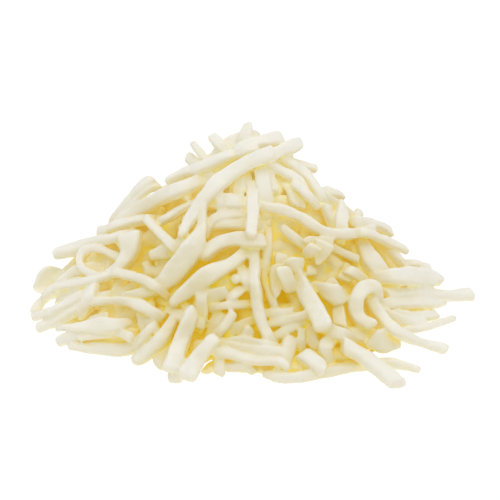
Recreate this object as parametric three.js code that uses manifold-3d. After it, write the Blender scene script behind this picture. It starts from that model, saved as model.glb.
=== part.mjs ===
// A loose heap of shredded mozzarella as it lies on a table, in millimetres, +Z up, its front towards -Y.
// A mound carries the shreds that show. Those that show from the front are laid one by one, and those on
// the far side follow a seeded rule. All of it is one solid, because the shreds stick to each other.
import * as THREE from 'three';
import { mergeVertices } from 'three/addons/utils/BufferGeometryUtils.js';
import Module from 'manifold-3d';

// The mound under the outermost shreds
const MOUND_PEAK = 42.5;
const PEAK_ROUNDING = 0.18; // share of the foot's radius
const FLANK_POWER = 0.9; // under 1 the flanks bulge a little
// The foot's radius every 30 degrees, from the right round by the back
const FOOT_RADII = [47, 42, 42, 43, 42, 45, 52.5, 49.5, 43.5, 41, 45, 49];
const MOUND_RINGS = 6;
const MOUND_SECTORS = 24;
const SLOPE_REACH = 0.8; // to each side of a place, for the slope there

// A shred's section, its ends and its faces
const FLATNESS = 0.74; // thickness over width
const THICKEST = 2.9;
const THINNEST = 1.5;
const BLUNT_END = 0.3; // length of an end's slope over the width
const SIDES = 5;
const MOST_OFF_LINE = 1; // between a bent shred and its straight spans
const MOST_SPANS = 10;

// How shreds lie
const STEP = 0.9; // between the points at which a shred's rest is worked out
const FEWEST_STEPS = 6;
const RAISED = 0.2; // a shred's middle line is this share of its thickness above the mound
const PRESSED = 0.84; // crossing shreds are this share of their two half thicknesses apart
const SIDE_CONTACT = 0.42; // shreds side by side touch at this share of their two widths
const SETTLING_ROUNDS = 160;
const LIMPNESS = 0.012; // how far a bridging shred gives way in each round

// The front view: places in it are millimetres to the right of the point aimed at and above it.
const EYE_DISTANCE = 417;
const EYE_ELEVATION = THREE.MathUtils.degToRad(20);
const AIM_HEIGHT = 15.6;
const PROBE = 0.5; // step along a line of sight
const PROBE_FROM = 1.6; // before the mound's axis, over the widest radius of its foot
const NEAR_MISS = 14; // a line that passes this close above the mound ends where it comes nearest
const SIDE_SLANT = 0.3; // one that passes beside it ends this far behind the axis, over how far beside it is
const TURN_TO_EYE = 0.6; // how far a shred's broad side turns from the mound's slope towards the eye
const FULL_TURN_HEIGHT = 8; // height above the table from which it turns so far

// Shreds that show from the front, in the order in which they were laid. Each is named for where it lies,
// and is a line of points with their place in the front view and the shred's width there.
const FIRST_LAID = {
  peak_back: [[-9, 22.5, 3], [-5.25, 26.75, 3.2], [-1, 28.75, 3]],
  peak_tip: [[-1.75, 25.5, 2.4], [-1, 29, 2.4], [-0.5, 32, 2.1]],
  peak_stub: [[-5.75, 24.25, 2.6], [-9.75, 28.75, 2.5]],
  peak_thin_stub: [[-9.5, 20.5, 1.8], [-14.5, 27, 1.8]],
  peak_wide: [[-1, 25.75, 2.8], [4, 27.25, 3.4], [8.5, 28, 3.2]],
  right_spike: [[7, 22.5, 2.6], [12.5, 21.25, 2.6], [16.75, 20.25, 2.4]],
  right_wedge: [[15, 13.75, 2.6], [20, 14.5, 2.6], [23.25, 13.25, 2]],
  left_spike: [[-24, 18, 3.6], [-28.5, 14, 3.6], [-33.25, 8.25, 3.2]],
  left_spike_front: [[-25.75, 15, 2.2], [-28.75, 12.25, 2.4], [-32.25, 8.75, 2.2]],
  right_chip: [[10, 15.5, 2.6], [11.75, 13, 4.4], [12.25, 10.5, 3]],
  plate: [[-10.5, -6.25, 3], [-7, -8.25, 5], [-3, -9.25, 3.4]],
  recess_back: [[17, -5, 4.2], [24.5, -5, 4.6]],
  left_slab: [[-36, 0.25, 2.4], [-43.5, -1.5, 3.4], [-49, -5, 3.8], [-52.25, -10.75, 3.6]],
  left_leaner: [[-39.5, -2, 2.2], [-44, -5, 2.4], [-48, -8.25, 2.2]],
  left_fold: [[-44.5, -9, 2.2], [-49.5, -12, 2.6], [-53.5, -16, 3]],
  right_foot_top: [[36.5, -3.75, 2.2], [41.5, -3.5, 2.3], [45, -4.5, 2]],
};
const THEN_LAID = {
  right_ridge: [[10, 21.75, 2.8], [14.25, 18.25, 3.2], [17, 14.5, 3], [18.25, 10.75, 2.6]],
  ridge_upper: [[-21, 17, 2.8], [-16.75, 19.25, 3.1], [-11.25, 21, 3], [-6.5, 23.25, 2.6]],
  ridge_main: [[-13, 16.75, 3.4], [-19.5, 14.5, 4.2], [-25, 11.5, 4.4], [-32, 7.5, 3.8]],
  ridge_low: [[-27, 7.5, 2.8], [-33, 6, 3.2], [-37.75, 4.25, 3]],
  left_flat_end: [[-48.25, -0.5, 3.4], [-43, 0.75, 3.3], [-36.25, 2.5, 3.1], [-30, 4, 2.6]],
  loop: [
    [-33.25, -1.75, 2], [-37.25, 0.25, 2.1], [-41, 0.25, 2.1], [-42.75, -1.75, 2.1],
    [-42.25, -4.25, 2.1], [-40, -6, 2.1], [-36.5, -6.75, 2],
  ],
  right_post_a: [[18.75, 11.5, 2.8], [21, 5.5, 3.2]],
  right_post_b: [[23, 11.5, 3], [22.75, 5.25, 3.2]],
  right_post_c: [[27.25, 9.5, 2.2], [26, 4.75, 2.4]],
  right_shelf: [[27.5, 7, 2.8], [32, 6, 3.1], [35.25, 4.25, 3]],
  right_broad: [[27.5, 3.25, 3], [29.5, -1.75, 4.6], [33.75, -7.25, 5.4]],
  right_strip_a: [[31.25, 2, 2.2], [33.75, -1.25, 2.4], [36.5, -4.5, 2.2]],
  right_strip_b: [[34.25, 0.75, 2.2], [36.5, -1.75, 2.4], [38.75, -4.5, 2.2]],
  right_foot_broad: [[34, -6.75, 3.4], [40.5, -6.5, 4.6], [46.75, -7, 4.2]],
  mitten: [[-25, -1.5, 2.2], [-20.5, -0.25, 4.4], [-15.75, 1, 4.2]],
  knob_stick: [[-23.75, 6, 2], [-20, 8.5, 2.3], [-15.75, 11, 2.1]],
  beside_diagonal: [[-16.75, 5, 2.4], [-16.75, 0.75, 2.8], [-18.25, -3, 2.6]],
  second_post: [[4.5, 2.5, 2], [4, -3, 2.1], [3.75, -7.75, 2.1], [5.75, -13.25, 2]],
  centre_slab: [[-12.25, -13.25, 2.6], [-12.5, -17.25, 3.6], [-13.5, -20.5, 3.2]],
  centre_block: [[-7, -15.75, 3.4], [-8.5, -17.75, 3.8], [-9.75, -20.75, 2.4]],
  centre_short: [[0.25, -17.75, 2], [-3, -19.5, 3.2], [-7.25, -21.75, 2.6]],
  centre_level: [[-9.75, -14.5, 1.8], [-4.5, -13.75, 2], [0.25, -13.5, 2]],
  petal_left: [[-2.25, -3, 1.4], [-1.75, -6.25, 2.8], [0, -9.5, 1.6]],
  right_centre_a: [[3, -16, 2.2], [11, -15.5, 2.3]],
  right_centre_c: [[5, -22.25, 2.2], [10, -19.75, 2.4], [14.5, -16.75, 2.4]],
  left_post_a: [[-27.5, -13.5, 2], [-27, -18.5, 2.3], [-24.75, -23.5, 2.2]],
  left_post_b: [[-25, -15.25, 2.4], [-24.5, -19.5, 3], [-22.25, -23.25, 3]],
  foot_stub_a: [[-20.5, -25, 3.3], [-23.25, -29.25, 3.2]],
  foot_stub_b: [[-17, -27.5, 3.6], [-19, -32.5, 3.6]],
  foot_stub_c: [[-7.75, -25, 2.4], [-7.75, -31.5, 2.4]],
  foot_post: [[10.75, -22, 3.2], [9, -25.75, 3.6], [8, -30, 3.8]],
  foot_oval: [[14.75, -18.75, 1.8], [15.25, -21.75, 3], [17, -24.75, 2.4]],
  foot_hook: [[21.5, -21.5, 3], [18.5, -24.25, 3], [19.75, -27.75, 2.8]],
  right_patch: [[22, -14, 3], [22.5, -19.25, 3.2]],
  right_plate: [[29.75, -21.75, 4.4], [33, -22, 5], [36.5, -21.5, 3.6]],
  low_left_stub: [[-48, -23.25, 3.4], [-42, -20.75, 3]],
  low_left_long: [
    [-45.5, -24, 2.6], [-38.75, -24.5, 2.9], [-32, -25, 3.2], [-28.5, -23.75, 3], [-25.75, -20.75, 2.2],
  ],
  low_left_back: [[-53.5, -19.75, 2.9], [-48, -17.5, 3], [-42.5, -14.75, 3], [-38, -12.25, 2.6]],
};
const LAST_LAID = {
  under_spike: [[3.5, 22.25, 2.2], [8.5, 19.5, 2.6], [12.5, 17, 2.6], [14, 14.25, 2.1]],
  peak_thick: [[2.5, 22.5, 2.8], [8.25, 25, 3.2], [13, 27, 3.2]],
  main_diagonal: [
    [6, 24.75, 3.2], [-0.5, 21.75, 3.6], [-6.5, 18, 3.8], [-11, 13.5, 3.6], [-14.5, 8.5, 3],
    [-17.25, 3.25, 2],
  ],
  hook: [[-11.25, 2.75, 1.4], [-11, 5.25, 2.3], [-9.5, 7.75, 2.3], [-6, 8.75, 2.2], [-0.5, 8.75, 2.2]],
  long_right: [
    [1.75, 11.25, 2.3], [8.25, 10, 2.5], [13.5, 7.75, 2.6], [18.5, 4.5, 2.6], [24.5, 4, 2.6],
    [29.75, 5, 2.4],
  ],
  right_shelf_low: [[29.5, 4.25, 2.4], [34.5, 2, 2.5], [39, 0, 2.3]],
  second_diagonal: [
    [-11.5, 10.75, 1.3], [-12.25, 5, 2.6], [-15, -0.5, 5], [-19, -5.75, 5], [-24.5, -10.25, 3],
    [-32.75, -11.75, 2],
  ],
  stem: [
    [-30, 4, 5.4], [-30.25, 0, 4.6], [-32.25, -4, 3.4], [-36.5, -6.75, 2.5], [-42.5, -8.25, 2.1],
    [-49.25, -9.25, 1.9],
  ],
  stem_arm: [[-33.25, -5.75, 2.3], [-28.5, -6.75, 2.5], [-25, -8.25, 2.4], [-22, -10.5, 2]],
  third_diagonal: [
    [-0.75, -0.25, 2.6], [-5.25, -4, 3.4], [-11, -6.5, 4.3], [-15.5, -10.25, 3.8], [-20, -13.5, 2.2],
  ],
  lower_post: [[1, 1, 2.4], [1.25, -7, 2.7], [2, -14.5, 2.8], [4, -20.75, 2.9], [6.5, -24.75, 2]],
  arch: [[-12, -2.5, 2.7], [-9, 0.75, 3.3], [-4.25, 2.75, 3.6], [0, 2.5, 3.6], [3.75, 1.75, 3]],
  upper_post: [[-0.25, 18, 1.4], [0.5, 14.5, 2.5], [0.75, 10.5, 2.9], [0.5, 6.5, 2.8], [0, 3.25, 2.6]],
  bent_stick: [[7.75, 5.75, 2.2], [10.5, 3.5, 2.4], [13.75, 0.75, 2.2]],
  wing_stick: [[20.75, 0.5, 2], [24, -1, 2.1], [27.25, -2.5, 2]],
  wing: [[13.5, -0.25, 2.8], [17, -0.25, 5], [21.5, 2.25, 4]],
  low_wing: [[15.25, -8.25, 1.8], [18.75, -10.5, 3.6], [21.5, -12, 4.2], [24.25, -10.25, 2.6]],
  thick_right: [[12, -6.75, 3.2], [14.5, -11.75, 4.2], [17, -16.25, 4.6], [18.75, -20.25, 4.4]],
  flower_top: [[6.25, -1.5, 3.4], [9.5, -2.25, 3.6], [13.25, -3.25, 3]],
  flower_left: [[5.75, -3, 2.6], [6.25, -7.75, 3], [6.25, -12, 1.6]],
  flower_right: [[7.75, -3.75, 2.6], [9.5, -7.5, 3.8], [10, -10.5, 3.4]],
  far_right: [[33.75, -11, 2.6], [42, -10.5, 2.8], [49.5, -11.75, 3.2], [55.5, -11.25, 3.4]],
  right_level: [[33, -13.5, 2.6], [40.5, -13.25, 2.8], [47.5, -13.25, 2.8]],
  right_level_low: [[33.5, -15.75, 2.6], [38.5, -17.75, 3], [43.75, -18.25, 2.8]],
  thin_right: [[37, -20.25, 1.5], [43.5, -19.5, 1.6], [48, -18, 1.6], [51.5, -17, 1.4]],
  curl: [
    [32, -12, 2.6], [31.25, -9, 3.2], [27.75, -10, 3.6], [26.25, -13.5, 3.6], [27.25, -17.25, 3.4],
    [31, -19, 2.6],
  ],
  long_low_right: [
    [30, -12.25, 2.7], [32.5, -16.25, 3], [36.5, -20.25, 3], [42.5, -23, 2.8], [49.5, -25, 2.7],
  ],
  left_fold_front: [[-54, -16.75, 2.7], [-49.5, -15.5, 2.7], [-44.5, -12.75, 2.6], [-39.25, -9.75, 2.3]],
  left_marker: [[-39.5, -10, 3.4], [-41, -13.5, 3.2], [-42.75, -17.5, 2.2]],
  ribbon: [[-38.75, -13, 2], [-32, -12.75, 2.2], [-26.75, -14.25, 2.8], [-21.75, -17.25, 3.1]],
  leaf: [[-48.25, -19.5, 1.6], [-41.25, -19, 3], [-34.5, -18.75, 3.4], [-29.25, -18, 1.4]],
  foot_long: [
    [3.25, -30.75, 2.2], [10, -32, 3.4], [18.75, -30.5, 3.4], [26.5, -29, 3], [36.25, -28.5, 3.2],
    [42.5, -30, 2.6],
  ],
  centre_arm: [[-4, -15.25, 2.2], [-5.75, -18.5, 2.4], [-9.25, -22, 2.3]],
  foot_band_a: [[-7.25, -23.25, 1.9], [-1.5, -22.5, 2.1], [4, -23.75, 2]],
  foot_band_b: [[-10.5, -23.5, 2], [-3.5, -24.25, 2.2], [1.5, -25, 2.2], [6.75, -25.25, 2]],
  foot_band_c: [[-11.75, -24.25, 3], [-5.5, -25.75, 2.7], [0.5, -27.5, 2.6], [6.75, -27.75, 2.4]],
  foot_diagonal: [[-19.5, -18, 2.6], [-21.5, -21.5, 3.4], [-25, -25, 3.5], [-29.25, -28.25, 3.2]],
  foot_slab: [[-15.5, -18, 3.4], [-18, -25, 3.9], [-20, -30.25, 3.7]],
  foot_thick: [[-10.5, -23.75, 3.2], [-13.5, -27.75, 4.2], [-16.25, -32.25, 4.4]],
  foot_block: [[13.25, -26.25, 3.7], [16, -28, 3.8], [18.75, -30, 3.6]],
  foot_right: [[23, -23.5, 3.3], [28, -26.5, 4], [33, -30.25, 4.3], [37, -33.5, 4]],
};

// The rule for the far side
const SEED = 7;
const FAR_SHREDS = 50;
const MOST_DRAWS = 4000;
const FAR_LENGTHS = [12, 32];
const FAR_WIDTHS = [2.6, 4.2];
const MOST_BEND = 1.1; // radians over the whole length
const FAR_SPACING = 5.2; // between the middles of two shreds
const HIDDEN = 0.2; // cosine between a flank and the eye's direction, under which it is the far side
const RIM = 0.97; // share of the foot's radius from which only the table is left
const OVERHANG = 0.06; // how far ends lie out on the table, over the foot's radius
const TESTED_SHARES = [-0.4, 0, 0.4]; // places along a shred that must lie on the far side

// What is cut off under the table, and how near points are the same
const CUT_WIDTH = 200;
const CUT_DEPTH = 20;
const SAME_POINT = 1e-4;

const IVORY = 0xefe9d2;

const TAU = Math.PI * 2;

// Mulberry32, for the same draws every time
function drawsFrom(seed) {
  let state = seed;
  return () => {
    state = (state + 0x6d2b79f5) | 0;
    let t = Math.imul(state ^ (state >>> 15), 1 | state);
    t = (t + Math.imul(t ^ (t >>> 7), 61 | t)) ^ t;
    return ((t ^ (t >>> 14)) >>> 0) / 2 ** 32;
  };
}

// The mound: its foot's outline, its height over a place on the table, and its slope there
function footRadius(bearing) {
  const place = (bearing / TAU + 1) * FOOT_RADII.length;
  const index = Math.floor(place);
  const radii = [-1, 0, 1, 2].map((step) => FOOT_RADII[(index + step) % FOOT_RADII.length]);
  const outline = new THREE.SplineCurve(radii.map((radius, i) => new THREE.Vector2(i, radius)));
  return outline.getPoint((1 + place - index) / 3).y;
}
function flankHeight(share) {
  const rounded = (s) => Math.hypot(s, PEAK_ROUNDING) - PEAK_ROUNDING;
  const fall = Math.min(rounded(share) / rounded(1), 1);
  return MOUND_PEAK * (1 - fall) ** FLANK_POWER;
}
function moundHeight(x, y) {
  return flankHeight(Math.hypot(x, y) / footRadius(Math.atan2(y, x)));
}
function moundNormal(x, y) {
  const fall = (dx, dy) => moundHeight(x - dx, y - dy) - moundHeight(x + dx, y + dy);
  return new THREE.Vector3(fall(SLOPE_REACH, 0), fall(0, SLOPE_REACH), 2 * SLOPE_REACH).normalize();
}
function restingHeight(x, y, thickness) {
  return Math.max(moundHeight(x, y) + RAISED * thickness, thickness / 2);
}

// A lathed cone of the flank's profile, with its radius drawn out to the foot's outline
function moundGeometry() {
  const shares = Array.from({ length: MOUND_RINGS + 1 }, (_, ring) => 1 - ring / MOUND_RINGS);
  const profile = shares.map((share) => new THREE.Vector2(share, flankHeight(share)));
  const geometry = new THREE.LatheGeometry([new THREE.Vector2(0, 0), ...profile], MOUND_SECTORS);
  geometry.rotateX(Math.PI / 2);
  const { position } = geometry.attributes;
  for (let i = 0; i < position.count; i++) {
    const [x, y] = [position.getX(i), position.getY(i)];
    const radius = footRadius(Math.atan2(y, x));
    position.setXY(i, x * radius, y * radius);
  }
  return geometry;
}

const thicknessOf = (width) => THREE.MathUtils.clamp(width * FLATNESS, THINNEST, THICKEST);

// Lets a shred come to rest: it rises no less than lowest says, and runs evenly between its supports.
function settle(lowest) {
  let rise = lowest;
  for (let round = 0; round < SETTLING_ROUNDS; round++) {
    rise = rise.map((here, i) => {
      const before = rise[i - 1] ?? 2 * here - rise[i + 1];
      const after = rise[i + 1] ?? 2 * here - rise[i - 1];
      const even = (before + 2 * here + after) / 4;
      return Math.max(lowest[i], THREE.MathUtils.lerp(even, lowest[i], LIMPNESS));
    });
  }
  return rise;
}

// How far along a line from its origin a point of a shred clears the shreds that already lie there
function riseOver(origin, direction, width, laid) {
  const offset = new THREE.Vector3();
  return laid.reduce((rise, other) => {
    offset.subVectors(other.at, origin);
    const ahead = offset.dot(direction);
    const beside = Math.sqrt(Math.max(offset.lengthSq() - ahead ** 2, 0));
    const reach = SIDE_CONTACT * (width + other.width);
    if (beside >= reach) return rise;
    const apart = (PRESSED * (thicknessOf(width) + thicknessOf(other.width))) / 2;
    return Math.max(rise, ahead + apart * Math.sqrt(1 - (beside / reach) ** 2));
  }, -Infinity);
}

// The eye of the front view, and the line of sight through a place in it
const [level, steep] = [Math.cos(EYE_ELEVATION), Math.sin(EYE_ELEVATION)];
const eye = new THREE.Vector3(0, -EYE_DISTANCE * level, AIM_HEIGHT + EYE_DISTANCE * steep);
function lineOfSight(right, up) {
  return new THREE.Vector3(right, up * steep, AIM_HEIGHT + up * level).sub(eye).normalize();
}

// How far from the eye a point of a shred meets the mound or the table
function distanceAlong(line, thickness) {
  const placeAt = (distance) => line.clone().multiplyScalar(distance).add(eye);
  const clearanceAt = (distance) => {
    const { x, y, z } = placeAt(distance);
    return z - restingHeight(x, y, thickness);
  };
  let distance = EYE_DISTANCE - PROBE_FROM * Math.max(...FOOT_RADII);
  let here = clearanceAt(distance);
  for (;;) {
    const next = clearanceAt(distance + PROBE);
    if (next <= 0) return distance + (PROBE * here) / (here - next);
    const { x, y } = placeAt(distance);
    if ((next > here && here < NEAR_MISS) || y > SIDE_SLANT * Math.abs(x)) return distance;
    distance += PROBE;
    here = next;
  }
}

// A shred that shows from the front: each of its points is met along a line of sight.
function laidInView(route, laid) {
  const curve = new THREE.CatmullRomCurve3(route.map((point) => new THREE.Vector3(...point)));
  const places = curve.getSpacedPoints(Math.max(FEWEST_STEPS, Math.round(curve.getLength() / STEP)));
  const lines = places.map(({ x, y }) => lineOfSight(x, y));
  const lowest = places.map(({ z: width }, i) => {
    const carried = -distanceAlong(lines[i], thicknessOf(width));
    return Math.max(carried, riseOver(eye, lines[i].clone().negate(), width, laid));
  });
  return settle(lowest).map((rise, i) => {
    const at = lines[i].clone().multiplyScalar(-rise).add(eye);
    const towardsEye = TURN_TO_EYE * Math.min(1, at.z / FULL_TURN_HEIGHT);
    const facing = moundNormal(at.x, at.y).addScaledVector(lines[i], -towardsEye).normalize();
    return { at, facing, width: places[i].z };
  });
}

// A shred on the far side: it runs over the mound both ways from its middle, with an even bend.
function laidByRule({ middle, heading, bend, length, width }, laid) {
  const half = Math.round(length / STEP / 2);
  const places = [middle];
  for (const way of [1, -1]) {
    let [x, y] = middle;
    for (let i = 1; i <= half; i++) {
      const bearing = heading + (way * bend * i) / (2 * half);
      const [dx, dy] = [way * Math.cos(bearing), way * Math.sin(bearing)];
      const slope = moundHeight(x + dx, y + dy) - moundHeight(x, y);
      const onPlan = STEP / Math.hypot(1, slope);
      [x, y] = [x + dx * onPlan, y + dy * onPlan];
      places[way > 0 ? 'push' : 'unshift']([x, y]);
    }
  }
  const feet = places.map(([x, y]) => new THREE.Vector3(x, y, restingHeight(x, y, thicknessOf(width))));
  const normals = places.map(([x, y]) => moundNormal(x, y));
  const lowest = feet.map((foot, i) => Math.max(0, riseOver(foot, normals[i], width, laid)));
  return settle(lowest).map((rise, i) => {
    const at = feet[i].clone().addScaledVector(normals[i], rise);
    return { at, facing: normals[i], width };
  });
}

// Whether the front view doesn't show a place on the far side, and whether the heap reaches so far out
function isFar(x, y) {
  const out = Math.hypot(x, y) / footRadius(Math.atan2(y, x));
  if (out > RIM) return y > 0 && out < 1 + OVERHANG;
  const towardsEye = eye.clone().sub(new THREE.Vector3(x, y, moundHeight(x, y))).normalize();
  return moundNormal(x, y).dot(towardsEye) < HIDDEN;
}

// Shreds drawn for the far side until there are enough, evenly spread
function farShreds() {
  const draw = drawsFrom(SEED);
  const between = (low, high) => low + (high - low) * draw();
  const kept = [];
  for (let i = 0; i < MOST_DRAWS && kept.length < FAR_SHREDS; i++) {
    const bearing = between(0, TAU);
    const radius = footRadius(bearing) * Math.sqrt(draw());
    const [x, y] = [radius * Math.cos(bearing), radius * Math.sin(bearing)];
    const heading = between(0, TAU);
    const bend = between(-MOST_BEND, MOST_BEND);
    const length = between(...FAR_LENGTHS);
    const width = between(...FAR_WIDTHS);
    const apart = kept.every(({ middle }) => Math.hypot(middle[0] - x, middle[1] - y) > FAR_SPACING);
    const hidden = TESTED_SHARES.every((share) => {
      const reach = share * length;
      return isFar(x + reach * Math.cos(heading), y + reach * Math.sin(heading));
    });
    if (apart && hidden) kept.push({ middle: [x, y], heading, bend, length, width });
  }
  return kept;
}

// A shred's middle line, width and facing at a share of its length
function shredAt(points, share) {
  const place = share * (points.length - 1);
  const i = Math.min(Math.floor(place), points.length - 2);
  const at = points[i].at.clone().lerp(points[i + 1].at, place - i);
  const before = points[Math.max(i - 1, 0)].at;
  const after = points[Math.min(i + 2, points.length - 1)].at;
  return { ...points[i], at, tangent: after.clone().sub(before).normalize() };
}

// How far the points of a shred's middle line lie from the straight spans between knots
function farthestOff(points, knots) {
  const spans = knots.slice(1).map((knot, i) => new THREE.Line3(knots[i], knot));
  const nearest = new THREE.Vector3();
  const offSpan = (at, span) => at.distanceTo(span.closestPointToPoint(at, true, nearest));
  const inner = points.slice(2, -2);
  return Math.max(...inner.map(({ at }) => Math.min(...spans.map((span) => offSpan(at, span)))));
}

// Where a shred's sections stand between its two tips: as few as its bends need
function sectionsOf(points) {
  const length = points.slice(1).reduce((total, { at }, i) => total + at.distanceTo(points[i].at), 0);
  const blunt = (BLUNT_END * points[0].width) / length;
  for (let spans = 1; ; spans++) {
    const shares = [];
    for (let i = 0; i <= spans; i++) shares.push(THREE.MathUtils.lerp(blunt, 1 - blunt, i / spans));
    const knots = shares.map((share) => shredAt(points, share).at);
    if (spans === MOST_SPANS || farthestOff(points, knots) < MOST_OFF_LINE) return shares;
  }
}

// A solid is a sphere drawn out along a shred's middle line: the tips are its poles, the sections its rings.
function shredGeometry(points) {
  const rings = [0, ...sectionsOf(points), 1];
  const cornersOut = Math.sqrt(TAU / (SIDES * Math.sin(TAU / SIDES))); // gives the section its round area
  const geometry = new THREE.SphereGeometry(1, SIDES, rings.length - 1);
  rings.forEach((share, ring) => {
    const { at, tangent, facing, width } = shredAt(points, share);
    const sideways = tangent.clone().cross(facing).normalize();
    const outwards = sideways.clone().cross(tangent);
    const size = share > 0 && share < 1 ? cornersOut / 2 : 0;
    for (let side = 0; side <= SIDES; side++) {
      const angle = (TAU * side) / SIDES;
      const corner = at.clone();
      corner.addScaledVector(sideways, size * width * Math.cos(angle));
      corner.addScaledVector(outwards, size * thicknessOf(width) * Math.sin(angle));
      geometry.attributes.position.setXYZ(ring * (SIDES + 1) + side, ...corner);
    }
  });
  return geometry;
}

const wasm = await Module();
wasm.setup();

function solidFrom(geometry) {
  geometry.deleteAttribute('normal');
  geometry.deleteAttribute('uv');
  const { attributes, index } = mergeVertices(geometry, SAME_POINT);
  const vertProperties = attributes.position.array;
  const triVerts = new Uint32Array(index.array);
  return new wasm.Manifold(new wasm.Mesh({ numProp: 3, vertProperties, triVerts }));
}
function geometryFrom(solid) {
  const { vertProperties, numProp, triVerts } = solid.getMesh();
  const geometry = new THREE.BufferGeometry();
  geometry.setAttribute('position', new THREE.BufferAttribute(vertProperties, numProp));
  geometry.setIndex(new THREE.BufferAttribute(triVerts, 1));
  geometry.computeVertexNormals();
  return geometry;
}

// The mound and its shreds, joined and cut flat at the table. The outer skin of the largest body is kept,
// so hollows that the shreds close off are filled.
function heapSolid() {
  const laid = [];
  const shreds = [];
  const lay = (points) => {
    laid.push(...points);
    shreds.push(solidFrom(shredGeometry(points)));
  };
  farShreds().forEach((shred) => lay(laidByRule(shred, laid)));
  for (const layer of [FIRST_LAID, THEN_LAID, LAST_LAID]) {
    Object.values(layer).forEach((route) => lay(laidInView(route, laid)));
  }
  const joined = shreds.reduce((heap, shred) => heap.add(shred), solidFrom(moundGeometry()));
  const cut = new THREE.BoxGeometry(CUT_WIDTH, CUT_WIDTH, CUT_DEPTH).translate(0, 0, -CUT_DEPTH / 2);
  const bodies = joined.subtract(solidFrom(cut)).decompose();
  return bodies.reduce((best, body) => (body.volume() > best.volume() ? body : best));
}

const ivory = new THREE.MeshStandardMaterial({ color: IVORY, roughness: 0.45, metalness: 0 });
const heap = new THREE.Mesh(geometryFrom(heapSolid()), ivory);
heap.name = 'cheese_heap';

// The origin lies on the table, under the middle of the heap's outline.
const outline = new THREE.Box3().setFromObject(heap);
const middle = outline.getCenter(new THREE.Vector3());
heap.position.set(-middle.x, -middle.y, 0);

const group = new THREE.Group();
group.add(heap);
export default group;
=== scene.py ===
import math

import bpy
import numpy as np
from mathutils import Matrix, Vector


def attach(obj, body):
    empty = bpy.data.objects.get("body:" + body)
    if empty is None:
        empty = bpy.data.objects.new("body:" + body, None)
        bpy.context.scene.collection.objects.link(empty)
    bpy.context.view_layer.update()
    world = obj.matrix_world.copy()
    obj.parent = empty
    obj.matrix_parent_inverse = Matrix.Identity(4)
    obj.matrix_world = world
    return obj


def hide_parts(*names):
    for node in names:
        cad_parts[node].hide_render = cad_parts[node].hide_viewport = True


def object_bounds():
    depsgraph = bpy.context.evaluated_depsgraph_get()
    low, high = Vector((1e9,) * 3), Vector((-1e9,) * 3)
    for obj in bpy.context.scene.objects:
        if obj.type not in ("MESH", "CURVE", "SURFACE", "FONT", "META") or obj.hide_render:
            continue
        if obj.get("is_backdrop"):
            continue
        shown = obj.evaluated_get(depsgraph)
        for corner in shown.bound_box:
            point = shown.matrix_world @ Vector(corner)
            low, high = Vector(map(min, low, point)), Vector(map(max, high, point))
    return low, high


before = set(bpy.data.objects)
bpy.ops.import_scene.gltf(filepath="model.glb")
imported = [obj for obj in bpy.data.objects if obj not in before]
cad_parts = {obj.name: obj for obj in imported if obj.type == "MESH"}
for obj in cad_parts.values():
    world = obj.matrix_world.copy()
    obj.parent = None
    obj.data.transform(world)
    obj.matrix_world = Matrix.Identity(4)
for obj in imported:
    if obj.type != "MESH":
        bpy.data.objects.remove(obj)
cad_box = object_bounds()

MILLIMETRE = 0.001
TAU = 2 * math.pi
GOLDEN_RATIO = (1 + math.sqrt(5)) / 2
NODE = "cheese_heap"
MOUND_AXIS = np.array([-1.08, 1.71, 0.0])  # in the frame, whose origin is under the heap's middle

# The mound that carries the shreds
MOUND_PEAK = 42.5
PEAK_ROUNDING = 0.18  # share of the foot's radius
FLANK_POWER = 0.9  # under 1 the flanks bulge a little
# The foot's radius every 30 degrees, from the right round by the back
FOOT_RADII = np.array([47, 42, 42, 43, 42, 45, 52.5, 49.5, 43.5, 41, 45, 49])
SLOPE_REACH = 0.8  # to each side of a place, for the slope there

# A shred's section
FLATNESS = 0.74  # thickness over width
THICKEST = 2.9
THINNEST = 1.5
FLAKE_THICKNESS = 0.6  # of a flake over that of a shred as wide

# How shreds lie
STEP = 0.9  # between the points at which a shred's rest is worked out
FEWEST_STEPS = 6
RAISED = 0.2  # a shred's middle line is this share of its thickness above the mound
PRESSED = 0.84  # crossing shreds are this share of their two half thicknesses apart
SIDE_CONTACT = 0.42  # shreds side by side touch at this share of their two widths
SETTLING_ROUNDS = 160
LIMPNESS = 0.012  # how far a bridging shred gives way in each round

# The front view, which is also the camera's: places in it are millimetres to the right of the point aimed at
# and above it.
EYE_DISTANCE = 417
EYE_ELEVATION = math.radians(20)
AIM_HEIGHT = 15.6
LENS = 120
SENSOR = 36
NEAREST_SEEN = 0.01  # metres
PROBE = 0.5  # step along a line of sight
PROBE_FROM = 84  # before the mound's axis
PROBE_TO = 90  # beyond it
FINE_PLACES = 201  # at which a curve's length is measured
NEAR_MISS = 14  # a line that passes this close above the mound ends where it comes nearest
SIDE_SLANT = 0.3  # one that passes beside it ends this far behind the axis, over how far beside it is
TURN_TO_EYE = 0.6  # how far a shred's broad side turns from the mound's slope towards the eye
FULL_TURN_HEIGHT = 8  # height above the table from which it turns so far
# The outline of the heap's top in the front view, and that of its foot. Hidden shreds keep within them.
SKYLINE = np.array([
    (-57, -3), (-48, 0), (-38, 4), (-32, 12), (-29, 12.5), (-28, 10.5), (-25, 11), (-24, 15.5), (-22.5, 16.5),
    (-16, 21), (-7, 25.5), (-1, 29), (9, 27), (11.25, 23.75), (15.5, 17.5), (21.25, 11.75), (28.75, 8),
    (34.5, 2.5), (38, -2), (43.75, -4.5), (56, -9),
])
FOOTLINE = np.array([
    (-57, -14), (-50, -20), (-47, -23), (-42, -25), (-33, -25.5), (-27, -27.5), (-20, -30), (-12.5, -30),
    (-10.5, -28), (-9, -28), (-7, -29), (0, -29), (6, -30), (18, -31), (28, -29), (30.5, -24.5), (36, -23),
    (38, -20), (46, -17.5), (56, -12),
])
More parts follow.
